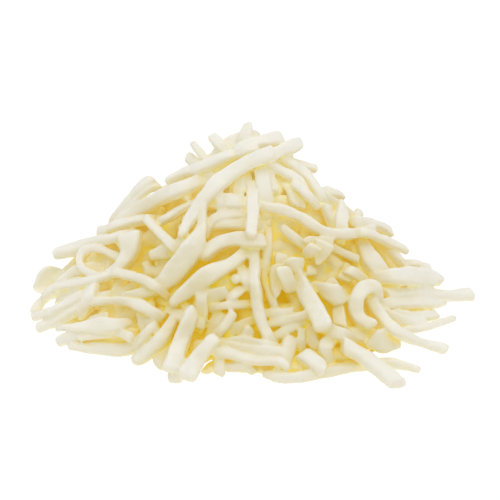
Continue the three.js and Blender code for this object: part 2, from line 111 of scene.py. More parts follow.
# Gaps that show from the front: their places there, and how far round them no shred close under the skin
# reaches. The table shows through the open ones.
OPEN_GAPS = np.array([(-49.5, -13.75, 1.4), (-26.25, 12.25, 1)])
DEEP_GAPS = np.array([
    (1.5, 19.5, 1.4), (-3.75, 10.75, 1.6), (-10, 10, 1), (8.5, 12, 1.4), (-20, 9.75, 1.8),
    (-25.25, 0.5, 1.6), (-33.75, -9, 1.6), (-8.75, -10, 1.2), (6.5, -13.5, 1.6), (-17.25, -19, 1.6),
    (-7.75, 5, 1.2), (6, 4.25, 1.2), (11.5, 5.25, 1), (-19.75, 4.25, 0.8), (-15, 3, 0.6),
    (22.75, 0.75, 0.8), (0, -0.75, 1.2), (-8.5, 20.25, 0.6), (-5.25, 22.5, 0.6),
])

# The rule for the far side
FAR_SEED = 7
FAR_SHREDS = 50
MOST_DRAWS = 4000
FAR_LENGTHS = (12, 32)
FAR_WIDTHS = (2.6, 4.2)
MOST_BEND = 1.1  # radians over the whole length
FAR_SPACING = 5.2  # between the middles of two shreds
HIDDEN = 0.2  # cosine between a flank and the eye's direction, under which it is the far side
RIM = 0.97  # share of the foot's radius from which only the table is left
OVERHANG = 0.06  # how far ends lie out on the table, over the foot's radius
TESTED_SHARES = (-0.4, 0, 0.4)  # places along a shred that must lie on the far side
MOST_LOWERED = 1.5  # a far shred sinks by up to this to the skyline, and ends where it would take more
FALL_SMOOTHING = 4

# Shreds that show from the front, in the order in which they were laid. A line has a shred's name, which says
# where it lies, a code, and its points: each one's place in the front view and the shred's width there. Lines
# that begin with a blank go on with the shred before. The code's first two letters are the shapes of the two
# ends: r for round, s for square, p for pointed, t for tucked under the neighbours. An f is for a flake, and
# an e for one that stands on edge, its broad side turned to the front.
FIRST_LAID = """
peak_back tt -9 22.5 3.6, -5.25 25.75 4.6, -1 27.75 4.6
peak_tip trf -1.75 26 5.2, -1 29 3.4, -0.5 32 2.1
peak_stub tr -5.75 24.25 2.6, -9.75 28.75 2.5
peak_thin_stub tr -9.5 20.5 1.8, -14.5 27 1.8
peak_wide tr -1 25.75 3.4, 4 27 4.4, 8.25 27.75 4
right_spike tr 7 22.5 2.6, 12.5 21.25 2.6, 16.75 20.25 2.4
right_wedge ts 15 13.75 2.6, 20 14.5 2.6, 23.25 13.25 2
left_spike rt -24 18 3.6, -28.5 14 3.6, -33.25 8.25 3.2
left_spike_front tt -25.75 15 2.2, -28.75 12.25 2.4, -32.25 8.75 2.2
shoulder_slab ttf 18.5 13 3.4, 22.25 9.75 5, 25.75 6.5 5
right_chip tsf 10 15.5 2.6, 11.75 13 4.4, 12.25 10.5 3
plate tsf -10.5 -6.25 3, -7 -8.25 5, -3 -9.25 3.4
left_slab rrfe -48.75 -4.25 4.4, -50.25 -7 6.4, -51.25 -11.25 6.4
left_leaner tr -42.5 -1.5 2, -45.75 -5.25 2.6, -48.75 -8.5 2.4
left_fold tr -45.5 -8.75 2.2, -50 -10.75 2.6, -52.75 -13.5 2.8, -53.75 -16.25 3
right_foot_top tr 36.5 -3.75 2.2, 41.5 -3.5 2.3, 45 -4.5 2
peak_low_stub tr -11 19.25 2.6, -15.75 23.5 2.6
under_diagonal tsf -2.5 19 3.1, -3 13.5 3.1
under_peak tr 4 20 3, 5 16.75 3.2, 6 14.25 3
shoulder_shadow tt 3 18 3.4, 4 11.75 3.6
behind_hook tt -7.5 6.25 2.4, -0.5 6.25 2.6
broken_plate ssf -14 -12.75 2, -10 -12 4, -5.5 -10.25 3
right_shadow tt 25 -21.5 4, 29.5 -22 4.4
foot_shadow tt -6.5 -29 2.4, 3.5 -29.5 2.6
right_foot_low tr 38 -16.25 2.4, 43 -16.75 2.6, 46.5 -16.25 2.4
behind_tab tt -11.25 11.75 3.2, -6.25 12.25 3.6, -1.75 11.5 3.2
tab_post tt -7.75 15.5 1.8, -7.5 9.25 1.9
diagonal_knob rr -17.25 14.25 2.4, -15 13.25 2.6
stem_back tt -34.5 5 2.2, -30.75 0 2.4
centre_leaf ppf -6 -12.75 1.8, -3.5 -11 2.6, -1.25 -9 2
foot_back_a tt 16 -26 2.6, 21.5 -26 2.9, 27 -26.5 2.6
foot_back_b tt 9.5 -27.5 2.6, 13.5 -28.5 2.8, 17 -28.25 2.6
foot_back_c tt -8 -29 2.6, -2 -29 2.6
left_under_a tt -46.5 -7.25 2.6, -43.75 -5.5 3, -40 -4.5 3
left_under_b tt -50 -10.5 3, -45.5 -9 3.2, -40 -8 3
fold_flake ttf -47.75 -12 2.4, -45 -11.75 3.6, -41.5 -10.5 3
leaf_back ttf -44 -22.25 3, -37.5 -22.25 4, -31.5 -21.5 3.4
foot_back_d tt 6 -28.75 2.6, 11 -29.25 2.8, 15 -29 2.6
peak_fill tt -8 21 2.4, -4.5 23.5 2.6, -1 25 3
"""
THEN_LAID = """
right_ridge tt 10 21.75 2.8, 14.25 18.25 3.2, 17 14.5 3, 18.25 10.75 2.6
ridge_upper rt -21 17 2.8, -16.75 19.25 3.1, -11.25 21 3, -6.5 23.25 2.6
ridge_main tt -13 16.75 3.4, -19.5 14.4 4, -25 11.5 3.8, -32 7.5 3.6
ridge_low tr -27 7.5 2.8, -33 6 3.2, -37.75 4.25 3
left_flat_end st -48.25 -0.75 5.2, -43 0.5 4.2, -36.25 2.5 3.3, -30 4 2.6
loop tt -33.25 -1.75 2, -37.25 0.25 2.1, -41 0.25 2.1, -42.75 -1.75 2.1, -42.25 -4.25 2.1, -40 -6 2.1,
 -36.5 -6.75 2
right_post_a st 18.75 11.5 2.8, 21 5.5 3.2
right_post_b st 23 11.5 3, 22.75 5.25 3.2
right_post_c rt 27.25 9.5 2.2, 26 4.75 2.4
right_shelf tr 27.5 7 2.8, 32 6 3.1, 35.25 4.25 3
right_broad tt 27.5 3.25 3, 29.5 -1.75 4.6, 33.75 -7.25 5.4
right_strip_a tt 31.25 2 2.2, 33.75 -1.25 2.4, 36.5 -4.5 2.2
right_strip_b tt 34.25 0.75 2.2, 36.5 -1.75 2.4, 38.75 -4.5 2.2
right_foot_broad tr 34 -6.75 3.4, 40.5 -6.5 4.6, 46.75 -7 4.2
mitten rt -25 -1.5 2.2, -20.5 -0.25 4.4, -15.75 1 4.2
knob_stick rt -23.75 6 2, -20 8.5 2.3, -15.75 11 2.1
beside_diagonal tt -16.75 5 2.4, -16.75 0.75 2.8, -18.25 -3 2.6
second_post tt 4.5 2.5 2, 4 -3 2.1, 3.75 -7.75 2.1, 5.75 -13.25 2
centre_slab trf -12.25 -13.25 2.6, -12.5 -17.25 3.6, -13.5 -20.5 3.2
centre_block stf -7 -15.75 3.4, -8.5 -17.75 3.8, -9.75 -20.75 2.4
centre_short tpf 0.25 -17.75 2, -3 -19.5 3.2, -7.25 -21.75 2.6
centre_level tt -9.75 -14.5 1.8, -4.5 -13.75 2, 0.25 -13.5 2
petal_left ptf -2.25 -3 1.4, -1.75 -6.25 2.8, 0 -9.5 1.6
right_centre_a ts 3 -16 2.2, 11 -15.5 2.3
right_centre_c tt 5 -22.25 2.2, 10 -19.75 2.4, 14.5 -16.75 2.4
left_post_a tt -27.5 -13.5 2, -27 -18.5 2.3, -24.75 -23.5 2.2
left_post_b tt -25 -15.25 2.4, -24.5 -19.5 3, -22.25 -23.25 3
foot_stub_a tr -20.5 -25 3.3, -23.25 -29.25 3.2
foot_stub_b tr -17 -27.5 3.6, -19 -32.5 3.6
foot_stub_c tr -7.75 -25 2.4, -7.75 -31.5 2.4
foot_post rt 10.75 -22 3.2, 9 -25.75 3.6, 8 -30 3.8
foot_oval tpf 14.75 -18.75 1.8, 15.25 -21.75 3, 17 -24.75 2.4
foot_hook tt 21.5 -21.5 3, 18.5 -24.25 3, 19.75 -27.75 2.8
right_patch ssf 22 -14 3, 22.5 -19.25 3.2
right_plate ssf 30 -22 4.6, 33.5 -22.75 5.6, 37 -22.5 4
low_left_stub rt -47.5 -22.75 4.6, -42 -20.75 3.4
low_left_long rt -45.5 -24 2.6, -38.75 -24.5 2.9, -32 -25 3.2, -28.5 -23.75 3, -25.75 -20.75 2.2
low_left_back rt -53.5 -19.75 2.9, -48 -17.5 3, -42.5 -14.75 3, -38 -12.25 2.6
left_stick tt -25.25 7 2.2, -20 1.75 2.4
leaf_low ptf -21.25 -14.25 1.4, -18 -16.25 2.7, -14 -17.75 2.5
right_centre_b tt 4.25 -18.75 1.9, 12.75 -16.5 2.1
foot_thin sp 13 -19.75 1.9, 12.75 -25.75 1.9
right_lump tt 20.25 -20 3.2, 24.25 -22 3.4
recess_flake ssf 23.25 -7.75 3.2, 25.25 -5.25 3.4
wing_lobe rrf 15.25 -4 2.8, 15.25 -6.5 3.1
above_curl ttf 26.5 -6 2.4, 29.75 -9 2.8
gap_flake ppf 13.25 7 1.6, 16 5 2.8, 19 3.5 1.8
low_wing_back tsf 19.75 -9.5 3.6, 21.5 -7.5 3
marker_flake trf -38.75 -17 2, -35.25 -16.5 2.4
leaf_strip rt -43 -22 1.8, -36 -21 2
leaf_end tr -33.25 -20.5 2.2, -29.25 -22 2.4
ribbon_lump rt -16.75 -13.5 2, -15.25 -14.75 2
petal_lump rp -4.25 -6.5 1.8, -3 -8.25 2
post_lump tr -1 -21.5 2.8, 0.25 -19.25 3
"""
LAST_LAID = """
under_spike tr 3.5 22.25 2.2, 8.5 19.5 2.6, 12.5 17 2.6, 14 14.25 2.1
peak_thick tr 2.5 22.5 2.8, 8.25 25 3.2, 13 27 3.2
main_diagonal rp 6 24.75 3.2, -0.5 21.75 3.6, -6.5 18 3.8, -11 13.5 3.6, -14.5 8.5 3, -17.25 3.25 2
hook rt -11.25 2.75 1.4, -11 5.25 2.3, -9.5 7.75 2.3, -6 8.75 2.2, -0.5 8.75 2.2
long_right tt 1.75 11.25 2.3, 8.25 10 2.5, 13.5 7.75 2.6, 18.5 4.5 2.6, 24.5 4 2.6, 29.75 5 2.4
right_shelf_low tr 29.5 4.25 2.4, 34.5 2 2.5, 39 0 2.3
second_diagonal tp -11.5 10.75 1.3, -12.25 5 2.8, -15 -0.5 5.4, -19 -5.75 5.4, -24.5 -10.25 3.2,
 -32.75 -11.75 2
stem sr -30 3.9 6.8, -29.75 2 5.4, -30 -0.5 4.6, -32.25 -4 3.4, -36.5 -6.75 2.5, -42.5 -8.25 2.1,
 -49.25 -9.25 1.9
stem_arm tt -33.25 -5.75 2.3, -28.5 -6.75 2.5, -25 -8.25 2.4, -22 -10.5 2
third_diagonal tr -0.75 -0.25 2.6, -5.25 -4 3.4, -11 -6.5 4.3, -15.5 -10.25 3.8, -20 -13.5 2.2
lower_post ts 1 1 2.4, 1.25 -7 2.7, 2 -14.5 2.8, 4 -20.75 2.9, 6.5 -24.75 2
arch rs -12 -2.5 2.7, -9 0.75 3.3, -4.25 2.75 3.6, 0 2.5 3.6, 3.75 1.75 3
upper_post tr -0.25 18 1.4, 0.5 14.5 2.5, 0.75 10.5 2.9, 0.5 6.5 2.8, 0 3.25 2.6
bent_stick rt 7.75 5.75 2.2, 10.5 3.5 2.4, 13.75 0.75 2.2
wing_stick tr 20.75 0.5 2, 24 -1 2.1, 27.25 -2.5 2
wing_top psf 13.25 2.5 2.2, 17 1.75 3.4, 20.75 1.25 3.6
wing spf 19 2 5, 17.75 -0.75 4, 16.75 -4 0.8
wing_left spf 16.75 1 3, 14.75 -0.5 3, 13.25 -2 1
low_wing ppf 15.25 -8.25 1.4, 18.75 -10 3.4, 21.75 -11.5 4.8, 24.25 -10.75 3
thick_right tr 12 -6.75 3.2, 14.5 -11.75 4.2, 17 -16.25 4.6, 18.75 -20.25 4.4
flower_top rrf 7.5 -4.5 2.2, 8 -2.5 3.8, 8.25 -0.75 3
flower_side tsf 8 -4.75 2, 10.75 -3.75 3.8, 13.5 -3.5 2.8
flower_left rpf 6.5 -3.5 3, 6.5 -8 2.8, 6.5 -12 1.4
flower_right rrf 7.75 -4 3, 9.25 -7.5 4, 10.25 -10.75 2.8
far_right ss 33.75 -11 2.8, 42 -10.5 3, 49.5 -11.5 3.9, 55.5 -11 4.1
right_level ss 33 -13.5 2.6, 40.5 -13.25 2.8, 47.5 -13.25 2.8
right_level_low tr 33.5 -15.75 2.6, 38.5 -17.75 3, 43.75 -18.25 2.8
thin_right tp 37 -20.25 1.5, 43.5 -19.5 1.6, 48 -18 1.6, 51.5 -17 1.4
curl tr 32 -12 2.6, 31.25 -9 3.2, 27.75 -10 3.6, 26.25 -13.5 3.6, 27.25 -17.25 3.4, 31 -19 2.6
long_low_right tr 30 -12.25 2.7, 32.5 -16.25 3, 36.5 -20.25 3, 42.5 -23 2.8, 49.5 -25 2.7
left_fold_front rt -54 -16.75 2.7, -49.5 -15.5 2.7, -44.5 -12.75 2.6, -39.25 -9.75 2.3
left_marker tp -39.5 -10 3.4, -41 -13.5 3.2, -42.75 -17.5 2.2
ribbon ts -38.75 -13 2, -32 -12.75 2.2, -26.75 -14.25 2.8, -21.75 -17.25 3.1
leaf ppf -48.25 -19.5 1.6, -41.25 -19 3, -34.5 -18.75 3.4, -29.25 -18 1.4
foot_long pr 3.25 -30.75 2.2, 10 -32 3.4, 18.75 -30.5 3.4, 26.5 -29 3, 36.25 -28.5 3.2, 42.5 -30 2.6
centre_arm rt -4 -15.25 2.2, -5.75 -18.5 2.4, -9.25 -22 2.3
foot_band_a tt -7.25 -23.25 1.9, -1.5 -22.5 2.1, 4 -23.75 2
foot_band_b tt -10.5 -23.5 2, -3.5 -24.25 2.2, 1.5 -25 2.2, 6.75 -25.25 2
foot_band_c tt -11.75 -24.25 3, -5.5 -25.75 2.7, 0.5 -27.5 2.6, 6.75 -27.75 2.4
foot_diagonal tr -19.5 -18 2.6, -21.5 -21.5 3.4, -25 -25 3.5, -29.25 -28.25 3.2
foot_slab tr -15.5 -18 3.4, -18 -25 3.9, -20 -30.25 3.7
foot_thick tr -10.5 -23.75 3.2, -13.5 -27.75 4.2, -16.25 -32.25 4.4
foot_block ss 13.25 -26.25 3.7, 16 -28 3.8, 18.75 -30 3.6
foot_right ss 23 -23.5 3.3, 28 -26.5 4, 33 -30.25 4.3, 37 -33.5 4
under_spike_end tr 13.25 15 2, 15.5 12.5 2.3, 17 10.25 2
"""

# Ends: each one's length over the width, and its bluntness: the least if pointed, the most if square
END_SHAPES = {"r": (0.36, 2.5), "s": (0.15, 4), "p": (0.9, 1.7), "t": (0.36, 2.5)}
END_LENGTH_SPREAD = (0.85, 1.15)
END_BLUNTNESS_SPREAD = (0.9, 1.15)
ENDS_IN_LENGTH = 3  # a shred is at least this many times as long as an end
END_RINGS = 6
MOST_SLANT = 0.45  # of a cut end: how far it leans along the shred, over how far across
SLANT_REACH = 1.5  # over the width
TUCK_LENGTH = 3.2  # of the bend that leads a hidden end down
TUCK_DEPTH = 2.8
TUCK_STEPS = 5
TUCK_TURN = math.pi / 2.4

# Unevenness along and round a shred. Waves: the shortest, the longest and how many.
LINE_SMOOTHING = 3  # rounds of averaging
UNEVENNESS = 0.06  # of the width
WIDTH_WAVES = (8, 20, 3)
MOST_ROLL = 0.3  # radians, like the twist
TWIST = 0.25
TWIST_WAVES = (12, 30, 2)
LUMPINESS = 0.04  # of the section
LUMP_WAVES = (4, 14, 4)
SQUARENESS = (3, 5.5)  # 2 for an oval section, more for a squarer one
FLAKE_SQUARENESS = (4, 7)
SIDES = 14
RING_SPACING = 0.7
INNER_SIDES = 10
INNER_RING_SPACING = 1.0
FRONT_SEED = 3
BACK_SEED = 4

# Skins of shreds that stick together
FRONT_CELL = 0.3
BACK_CELL = 0.5
UNDER_CELL = 0.6
INNER_CELL = 0.9
CORE_CELL = 1.2
SOFTENING = 1  # rounds of averaging
SWELLING = 0.15  # over a cell, which makes up for what the softening takes off
SWELLS_SEED = 5
SWELLS = 24  # waves that make the skin uneven
SWELL_LENGTHS = (2.2, 6)
SWELL_HEIGHT = 0.07
THIRDS = (-14, 12)  # where the skin in front is parted, from left to right

# Inner shreds, which show through the gaps between those on the skin
INNER_SEED = 23
INNER_DRAWS = 2000
INNER_LENGTHS = (8, 24)
INNER_LENGTH_SPREAD = (0.7, 1)
INNER_WIDTHS = (2.2, 4.0)
INNER_TOP = 0.3  # under the mound's surface
INNER_STEP = 1.2
# Shorter ones close under the skin
UNDER_SEED = 31
UNDER_DRAWS = 700
UNDER_LENGTHS = (5, 16)
UNDER_WIDTHS = (2, 3.6)
UNDER_DEPTHS = (1.2, 3.4)  # of a middle line under the mound's surface
FAR_DEPTH = 0.45  # share of that depth on the far side, where fewer shreds lie over them

# The heap's inside
CORE_DEPTH = 7.0  # under the mound's surface
CORE_SECTORS = 96
CORE_RINGS = 36
CORE_LUMPS = 0.8
CORE_LUMP_SIZES = (2.1, 1.7, 1.9)

# How open a place on a shred is to the light
LIGHT_DIRECTIONS = 72
LOWEST_FROM_TABLE = -0.7  # sine of the steepest way in which light comes up from the table
TABLE_LIGHT = 0.5  # over that from above
SHADOW_CELL = 0.7  # of a grid across each direction
SHADOW_BIAS = 0.9  # how far behind the foremost place in its cell one is lit too
NEARLY_ALONG = 0.9  # cosine to Y from which that grid is squared to X
OFF_SKIN = 0.05  # how far outside the skin the light is measured
NEAR_PASSES = 3  # rounds of averaging over the skin
WIDE_PASSES = 30
WIDE_SHARE = 0.5
HOLLOW_PASSES = 4
FULL_HOLLOW = 0.09  # depth from which a crease gets its full shade
CREASE_SHADE = 0.27  # openness that it takes off
# Where the heap gets thin and lets more light through: from where it is thick to where it is thinnest
FOOT_SHARES = (0.85, 1.3)  # of the foot's radius
PEAK_HEIGHTS = (18, 40)
END_PLACES = (18, 46)  # to each side

# Painted shade: the cheese's colour by how open it is to the light, golden where little light reaches,
# where the heap is thick and where it is thin
RAMP = (
    (0, (229, 209, 75)), (0.12, (234, 222, 149)), (0.25, (237, 224, 160)), (0.4, (232, 220, 168)),
    (0.55, (230, 220, 182)), (0.7, (232, 224, 194)), (0.85, (238, 235, 221)), (1, (240, 238, 226)),
)
THIN_RAMP = (
    (0, (250, 241, 174)), (0.2, (244, 240, 217)), (0.4, (239, 234, 210)), (0.6, (240, 235, 217)),
    (0.8, (241, 238, 225)), (1, (239, 237, 228)),
)
# Painted glow, an emission that stands in for light that comes through the cheese into narrow gaps: its
# colour, its strength in the narrowest, and the openness from which there is none; then the same where
# the heap is thin
GAP_GLOW = (1, 0.82, 0.04, 1)
GLOW_STRENGTH = 0.14
GLOW_TO = 0.2
THIN_GLOW = (1, 0.95, 0.75, 1)
THIN_GLOW_STRENGTH = 0.05
THIN_GLOW_TO = 0.5
# The cheese's surface; lengths in metres
ROUGHNESS = 0.5
SPECULAR = 0.3
SUBSURFACE = 0.3
SUBSURFACE_RADIUS = (1.0, 0.75, 0.4)
SUBSURFACE_SCALE = 0.001
GRAIN_SCALE = 900
GRAIN_DETAIL = 3
GRAIN_STRENGTH = 0.25
GRAIN_HEIGHT = 0.0002

# The table and the studio, in metres
FLOOR_HALF = 3.0
FLOOR_DEPTH = 0.0001
FLOOR_GREY = 0.06
FLOOR_ROUGHNESS = 0.8
FLOOR_LIGHT = 0.96
HORIZON_LIGHT = 0.48
ZENITH_LIGHT = 1.16
LAMP_PLACE = (0.1, -0.2, 0.7)
LAMP_AIM = (0, 0, 0.015)
LAMP_SIZE = 0.5
LAMP_POWER = 0.5
BOUNCES = 12


# The mound
def foot_radius(bearing):
    place = bearing / TAU * len(FOOT_RADII)
    index = np.floor(place).astype(int)
    share = place - index
    before, here, after, beyond = (FOOT_RADII[(index + step) % len(FOOT_RADII)] for step in (-1, 0, 1, 2))
    leave, arrive = (after - before) / 2, (beyond - here) / 2
    cubed = (2 * here - 2 * after + leave + arrive) * share**3
    return cubed + (3 * after - 3 * here - 2 * leave - arrive) * share**2 + leave * share + here


def flank_height(share):
    rounded = np.hypot(share, PEAK_ROUNDING) - PEAK_ROUNDING
    foot = math.hypot(1, PEAK_ROUNDING) - PEAK_ROUNDING
    return MOUND_PEAK * (1 - np.minimum(rounded / foot, 1)) ** FLANK_POWER


def mound_height(x, y):
    return flank_height(np.hypot(x, y) / foot_radius(np.arctan2(y, x)))


def unit(vectors):
    return vectors / np.linalg.norm(vectors, axis=-1, keepdims=True)


def mound_normal(x, y):
    reach = SLOPE_REACH
    along_x = (mound_height(x + reach, y) - mound_height(x - reach, y)) / (2 * reach)
    along_y = (mound_height(x, y + reach) - mound_height(x, y - reach)) / (2 * reach)
    return unit(np.stack([-along_x, -along_y, np.ones_like(along_x)], axis=-1))


def thickness_of(width):
    return np.clip(width * FLATNESS, THINNEST, THICKEST)


def resting_height(x, y, thickness):
    return np.maximum(mound_height(x, y) + RAISED * thickness, thickness / 2)


# How shreds come to rest
def settle(lowest):
    """The rise of each point of a shred that gives way towards the lowest rise that it can have there"""
    rise = lowest.copy()
    padded = np.empty(len(rise) + 2)
    for _ in range(SETTLING_ROUNDS):
        padded[1:-1] = rise
        padded[0] = 2 * rise[0] - rise[1]
        padded[-1] = 2 * rise[-1] - rise[-2]
        even = (padded[:-2] + 2 * rise + padded[2:]) / 4
        rise = np.maximum(lowest, even + (lowest - even) * LIMPNESS)
    return rise


class Laid:
    """The middle lines and widths of the shreds that already lie there."""

    def __init__(self):
        self.at = np.empty((0, 3))
        self.width = np.empty(0)

    def add(self, at, width):
        self.at = np.concatenate([self.at, at])
        self.width = np.concatenate([self.width, width])

    def rise_over(self, origin, direction, width):
        """How far along a line from its origin a shred's point clears them"""
        if not len(self.width):
            return np.full(len(width), -np.inf)
        offset = self.at[None] - origin[:, None]
        ahead = np.einsum("ijk,ik->ij", offset, direction)
        beside = np.einsum("ijk,ijk->ij", offset, offset) - ahead**2
        reach = SIDE_CONTACT * (width[:, None] + self.width)
        apart = PRESSED * (thickness_of(width)[:, None] + thickness_of(self.width)) / 2
        inside = 1 - beside / reach**2
        rise = np.where(inside > 0, ahead + apart * np.sqrt(np.maximum(inside, 0)), -np.inf)
        return rise.max(axis=1)


# The front view's eye, and lines of sight through places in it
LEVEL, STEEP = math.cos(EYE_ELEVATION), math.sin(EYE_ELEVATION)
EYE = np.array([0, -EYE_DISTANCE * LEVEL, AIM_HEIGHT + EYE_DISTANCE * STEEP])


def lines_of_sight(right, up):
    return unit(np.stack([right, up * STEEP, AIM_HEIGHT + up * LEVEL], axis=-1) - EYE)


def in_view(places):
    """Where places show in the front view"""
    offset = places - EYE
    scale = EYE_DISTANCE / (offset @ np.array([0, LEVEL, -STEEP]))
    return np.stack([offset[:, 0], offset @ np.array([0, STEEP, LEVEL])], axis=-1) * scale[:, None]


def distance_along(lines, thickness):
    """How far from the eye the points of a shred meet the mound or the table"""
    distances = EYE_DISTANCE + np.arange(-PROBE_FROM, PROBE_TO, PROBE)
    x, y, z = np.moveaxis(EYE + lines[:, None] * distances[:, None], -1, 0)
    clearance = z - resting_height(x, y, thickness[:, None])
    here, following = clearance[:, :-1], clearance[:, 1:]
    hit = following <= 0
    passed = (following > here) & (here < NEAR_MISS) | (y > SIDE_SLANT * np.abs(x))[:, :-1]
    first = np.argmax(hit | passed, axis=1)
    rows = np.arange(len(lines))
    share = here[rows, first] / (here[rows, first] - following[rows, first])
    return distances[first] + np.where(hit[rows, first], PROBE * share, 0)


def spaced_points(route, step):
    """Evenly spaced points on a centripetal Catmull-Rom curve through a route's points"""
    ends = 2 * route[[0, -1]] - route[[1, -2]]
    points = np.concatenate([ends[:1], route, ends[1:]])
    gaps = np.linalg.norm(np.diff(points, axis=0), axis=1) ** 0.5

    def curve_at(place):
        index = np.minimum(place.astype(int), len(route) - 2)
        share = (place - index)[:, None]
        before, here, after, beyond = (points[index + shift] for shift in range(4))
        gap_before, gap, gap_after = (gaps[index + shift][:, None] for shift in range(3))
        leave = (here - before) / gap_before - (after - before) / (gap_before + gap) + (after - here) / gap
        arrive = (after - here) / gap - (beyond - here) / (gap + gap_after) + (beyond - after) / gap_after
        leave, arrive = leave * gap, arrive * gap
        bent = (3 * after - 3 * here - 2 * leave - arrive) * share**2
        return here + leave * share + bent + (2 * here - 2 * after + leave + arrive) * share**3

    fine = np.linspace(0, len(route) - 1, FINE_PLACES)
    lengths = np.linalg.norm(np.diff(curve_at(fine), axis=0), axis=1)
    run = np.concatenate([[0], np.cumsum(lengths)])
    steps = max(FEWEST_STEPS, round(run[-1] / step))
    return curve_at(np.interp(np.linspace(0, run[-1], steps + 1), run, fine))


def laid_in_view(route, laid):
    """A shred that shows from the front: each of its points is met along a line of sight."""
    right, up, width = spaced_points(route, STEP).T
    lines = lines_of_sight(right, up)
    eyes = np.broadcast_to(EYE, lines.shape)
    carried = -distance_along(lines, thickness_of(width))
    rise = settle(np.maximum(carried, laid.rise_over(eyes, -lines, width)))
    at = EYE - lines * rise[:, None]
    to_eye = TURN_TO_EYE * np.minimum(1, at[:, 2] / FULL_TURN_HEIGHT)
    facing = unit(mound_normal(at[:, 0], at[:, 1]) - lines * to_eye[:, None])
    return at, facing, width


def over_the_mound(middle, heading, bend, length, step):
    """Places on a line that runs over the mound both ways from its middle, with an even bend"""
    half = max(round(length / step / 2), 2)
    step = length / half / 2
    places = [middle]
    for way in (1, -1):
        x, y = middle
        for i in range(1, half + 1):
            bearing = heading + way * bend * i / (2 * half)
            dx, dy = way * math.cos(bearing), way * math.sin(bearing)
            slope = mound_height(np.array(x + dx), np.array(y + dy)) - mound_height(np.array(x), np.array(y))
            on_plan = step / math.hypot(1, slope)
            x, y = x + dx * on_plan, y + dy * on_plan
            places.insert(len(places) if way > 0 else 0, (x, y))
    return np.array(places)


def laid_by_rule(middle, heading, bend, length, width, laid):
    x, y = over_the_mound(middle, heading, bend, length, STEP).T
    widths = np.full(len(x), float(width))
    feet = np.stack([x, y, resting_height(x, y, thickness_of(widths))], axis=-1)
    normals = mound_normal(x, y)
    rise = settle(np.maximum(laid.rise_over(feet, normals, widths), 0))
    return feet + normals * rise[:, None], normals, widths


def is_far(x, y):
    """Whether the front view doesn't show a place on the far side, and whether the heap reaches so far out"""
    out = math.hypot(x, y) / foot_radius(np.arctan2(y, x))
    if out > RIM:
        return y > 0 and out < 1 + OVERHANG
    here = np.array([x, y, mound_height(x, y)])
    return mound_normal(np.array(x), np.array(y)) @ unit(EYE - here) < HIDDEN


def draws_from(seed):
    """Mulberry32, so that the far side's shreds are those of the solid"""
    state = seed
    word = 2**32 - 1
    while True:
        state = (state + 0x6D2B79F5) & word
        mixed = ((state ^ (state >> 15)) * (1 | state)) & word
        mixed = ((mixed + ((mixed ^ (mixed >> 7)) * (61 | mixed) & word)) & word) ^ mixed
        yield (mixed ^ (mixed >> 14)) / 2**32


def far_shreds():
    draws = draws_from(FAR_SEED)

    def between(low, high):
        return low + (high - low) * next(draws)

    kept = []
    for _ in range(MOST_DRAWS):
        if len(kept) == FAR_SHREDS:
            break
        bearing = between(0, TAU)
        radius = foot_radius(np.array(bearing)) * math.sqrt(next(draws))
        x, y = radius * math.cos(bearing), radius * math.sin(bearing)
        heading = between(0, TAU)
        bend = between(-MOST_BEND, MOST_BEND)
        length = between(*FAR_LENGTHS)
        width = between(*FAR_WIDTHS)
        apart = all(math.hypot(other[0][0] - x, other[0][1] - y) > FAR_SPACING for other in kept)
        reaches = [share * length for share in TESTED_SHARES]
        if apart and all(is_far(x + r * math.cos(heading), y + r * math.sin(heading)) for r in reaches):
            kept.append(((x, y), heading, bend, length, width))
    return kept


def under_skyline(at, facing, width):
    """The longest part of a shred that hardly stands out over the skyline, lowered to it"""
    right, up = in_view(at).T
    over = up + width / 2 - np.interp(right, *SKYLINE.T)
    low = over < MOST_LOWERED
    runs = np.split(np.arange(len(at)), np.flatnonzero(low[1:] != low[:-1]) + 1)
    part = max((run for run in runs if low[run[0]]), key=len, default=runs[0][:0])
    lowered = at[part]
    fall = smoothed(np.maximum(over, 0), FALL_SMOOTHING)[part] / LEVEL
    lowered[:, 2] = np.maximum(lowered[:, 2] - fall, thickness_of(width[part]) / 2)
    return lowered, facing[part], width[part]


def stands_out(at, width):
    """Whether a shred shows beyond the heap's outline in the front view, or in one of its open gaps"""
    places = in_view(at)
    right, up = places.T
    over = up + width / 2 - np.interp(right, *SKYLINE.T)
    below = np.interp(right, *FOOTLINE.T) - up + width / 2
    apart = np.linalg.norm(places[:, None] - OPEN_GAPS[:, :2], axis=-1)
    inside = OPEN_GAPS[:, 2] + width.max() / 2 - apart
    return max(over.max(), below.max(), inside.max()) > 0


def anywhere(draws):
    """A place under the mound, a heading and a bend"""
    bearing = draws.uniform(0, TAU)
    radius = foot_radius(np.array(bearing)) * math.sqrt(draws.uniform(0, RIM))
    heading = draws.uniform(0, TAU)
    bend = draws.uniform(-MOST_BEND, MOST_BEND)
    return (radius * math.cos(bearing), radius * math.sin(bearing)), heading, bend


